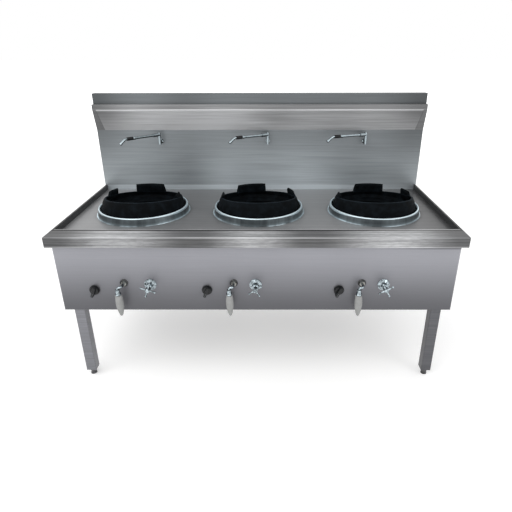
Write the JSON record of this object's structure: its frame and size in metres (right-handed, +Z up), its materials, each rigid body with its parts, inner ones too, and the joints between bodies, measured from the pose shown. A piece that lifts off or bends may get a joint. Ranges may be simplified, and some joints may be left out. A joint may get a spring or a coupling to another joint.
{
  "type": "wok range",
  "caption": "Free-standing gas wok range with lift-off cast rings in spun collars, swivelling wall spouts, hanging gas levers and front taps.",
  "frame": {"origin": "on the floor, in the middle of the range's outline seen from above, tap handles included", "axes": "+Z up, the front with the controls faces -Y, +X runs along the splash to the right of someone facing the front"},
  "size_m": [1.9, 0.943, 1.33],
  "materials": {
    "black_plastic": "black moulded plastic",
    "black_rubber": "black rubber grip",
    "brass": "turned brass",
    "brushed_steel": "horizontal brushed stainless steel",
    "cast_iron": "black cast iron",
    "chrome": "polished chrome plate",
    "copper": "drawn copper tube",
    "dark_ring": "dark washer with worn enamel",
    "gas_pipe": "painted steel pipe",
    "grey_rubber": "grey rubber sleeve",
    "mild_steel": "heat-darkened sheet steel",
    "polished_steel": "bright spun stainless steel",
    "refractory": "cast refractory, sooted",
    "zinc_steel": "zinc-plated steel"
  },
  "bodies": {
    "range": {"burner_centre": "cast_iron", "burner_left": "cast_iron", "burner_right": "cast_iron", "collar_centre": "polished_steel", "collar_left": "polished_steel", "collar_right": "polished_steel", "deck_plate": "brushed_steel", "drum_centre": "mild_steel", "drum_left": "mild_steel", "drum_right": "mild_steel", "escutcheons": "dark_ring", "feed_pipes": "gas_pipe", "front_panel": "brushed_steel", "gas_manifold": "gas_pipe", "leg_front_left": "brushed_steel", "leg_front_right": "brushed_steel", "leg_rear_left": "brushed_steel", "leg_rear_right": "brushed_steel", "linings": "refractory", "main_valves": "brass", "pilot_tubes": "copper", "pilot_valves": "brass", "rear_panel": "brushed_steel", "risers": "copper", "side_panel_left": "brushed_steel", "side_panel_right": "brushed_steel", "splash": "brushed_steel", "splash_cover": "brushed_steel", "spout_posts": "chrome", "tap_bodies": "chrome", "under_frame": "brushed_steel", "valance": "brushed_steel", "water_manifold": "copper", "worktop": "brushed_steel"},
    "wok_ring_left": {"wok_ring_left": "cast_iron"},
    "wok_ring_centre": {"wok_ring_centre": "cast_iron"},
    "wok_ring_right": {"wok_ring_right": "cast_iron"},
    "knob_left": {"knob_left": "black_plastic"},
    "knob_centre": {"knob_centre": "black_plastic"},
    "knob_right": {"knob_right": "black_plastic"},
    "lever_left": {"lever_left": "chrome", "sleeve_left": "grey_rubber"},
    "lever_centre": {"lever_centre": "chrome", "sleeve_centre": "grey_rubber"},
    "lever_right": {"lever_right": "chrome", "sleeve_right": "grey_rubber"},
    "tap_handle_left": {"tap_handle_left": "chrome"},
    "tap_handle_centre": {"tap_handle_centre": "chrome"},
    "tap_handle_right": {"tap_handle_right": "chrome"},
    "spout_left": {"spout_arm_left": "chrome", "spout_grip_left": "black_rubber"},
    "spout_centre": {"spout_arm_centre": "chrome", "spout_grip_centre": "black_rubber"},
    "spout_right": {"spout_arm_right": "chrome", "spout_grip_right": "black_rubber"},
    "foot_front_left": {"foot_front_left": "zinc_steel"},
    "foot_front_right": {"foot_front_right": "zinc_steel"},
    "foot_rear_left": {"foot_rear_left": "zinc_steel"},
    "foot_rear_right": {"foot_rear_right": "zinc_steel"}
  },
  "joints": [
    {"name": "wok_ring_left_lift", "type": "slide", "parent": "range", "child": "wok_ring_left", "axis": [0, 0, 1], "range_m": [0, 0.12]},
    {"name": "knob_left_turn", "type": "hinge", "parent": "range", "child": "knob_left", "pos_m": [-0.766, -0.4035, 0.524], "axis": [0, -1, 0], "range_deg": [0, 90]},
    {"name": "lever_left_swing", "type": "hinge", "parent": "range", "child": "lever_left", "pos_m": [-0.623, -0.4035, 0.56], "axis": [0, -1, 0], "range_deg": [0, 50]},
    {"name": "tap_left_turn", "type": "hinge", "parent": "range", "child": "tap_handle_left", "pos_m": [-0.5, -0.4035, 0.552], "axis": [0, -1, 0], "range_deg": [0, 720]},
    {"name": "spout_left_swivel", "type": "hinge", "parent": "range", "child": "spout_left", "pos_m": [-0.579, 0.3765, 1.096], "axis": [0, 0, 1], "range_deg": [-39, 131]},
    {"name": "wok_ring_centre_lift", "type": "slide", "parent": "range", "child": "wok_ring_centre", "axis": [0, 0, 1], "range_m": [0, 0.12]},
    {"name": "knob_centre_turn", "type": "hinge", "parent": "range", "child": "knob_centre", "pos_m": [-0.235, -0.4035, 0.524], "axis": [0, -1, 0], "range_deg": [0, 90]},
    {"name": "lever_centre_swing", "type": "hinge", "parent": "range", "child": "lever_centre", "pos_m": [-0.108, -0.4035, 0.56], "axis": [0, -1, 0], "range_deg": [0, 50]},
    {"name": "tap_centre_turn", "type": "hinge", "parent": "range", "child": "tap_handle_centre", "pos_m": [-0.006, -0.4035, 0.552], "axis": [0, -1, 0], "range_deg": [0, 720]},
    {"name": "spout_centre_swivel", "type": "hinge", "parent": "range", "child": "spout_centre", "pos_m": [0.046, 0.3765, 1.096], "axis": [0, 0, 1], "range_deg": [-26, 144]},
    {"name": "wok_ring_right_lift", "type": "slide", "parent": "range", "child": "wok_ring_right", "axis": [0, 0, 1], "range_m": [0, 0.12]},
    {"name": "knob_right_turn", "type": "hinge", "parent": "range", "child": "knob_right", "pos_m": [0.386, -0.4035, 0.524], "axis": [0, -1, 0], "range_deg": [0, 90]},
    {"name": "lever_right_swing", "type": "hinge", "parent": "range", "child": "lever_right", "pos_m": [0.492, -0.4035, 0.56], "axis": [0, -1, 0], "range_deg": [0, 50]},
    {"name": "tap_right_turn", "type": "hinge", "parent": "range", "child": "tap_handle_right", "pos_m": [0.594, -0.4035, 0.552], "axis": [0, -1, 0], "range_deg": [0, 720]},
    {"name": "spout_right_swivel", "type": "hinge", "parent": "range", "child": "spout_right", "pos_m": [0.61, 0.3765, 1.096], "axis": [0, 0, 1], "range_deg": [-16, 154]},
    {"name": "foot_front_left_screw", "type": "slide", "parent": "range", "child": "foot_front_left", "axis": [0, 0, -1], "range_m": [0, 0.02]},
    {"name": "foot_front_right_screw", "type": "slide", "parent": "range", "child": "foot_front_right", "axis": [0, 0, -1], "range_m": [0, 0.02]},
    {"name": "foot_rear_left_screw", "type": "slide", "parent": "range", "child": "foot_rear_left", "axis": [0, 0, -1], "range_m": [0, 0.02]},
    {"name": "foot_rear_right_screw", "type": "slide", "parent": "range", "child": "foot_rear_right", "axis": [0, 0, -1], "range_m": [0, 0.02]}
  ]
}
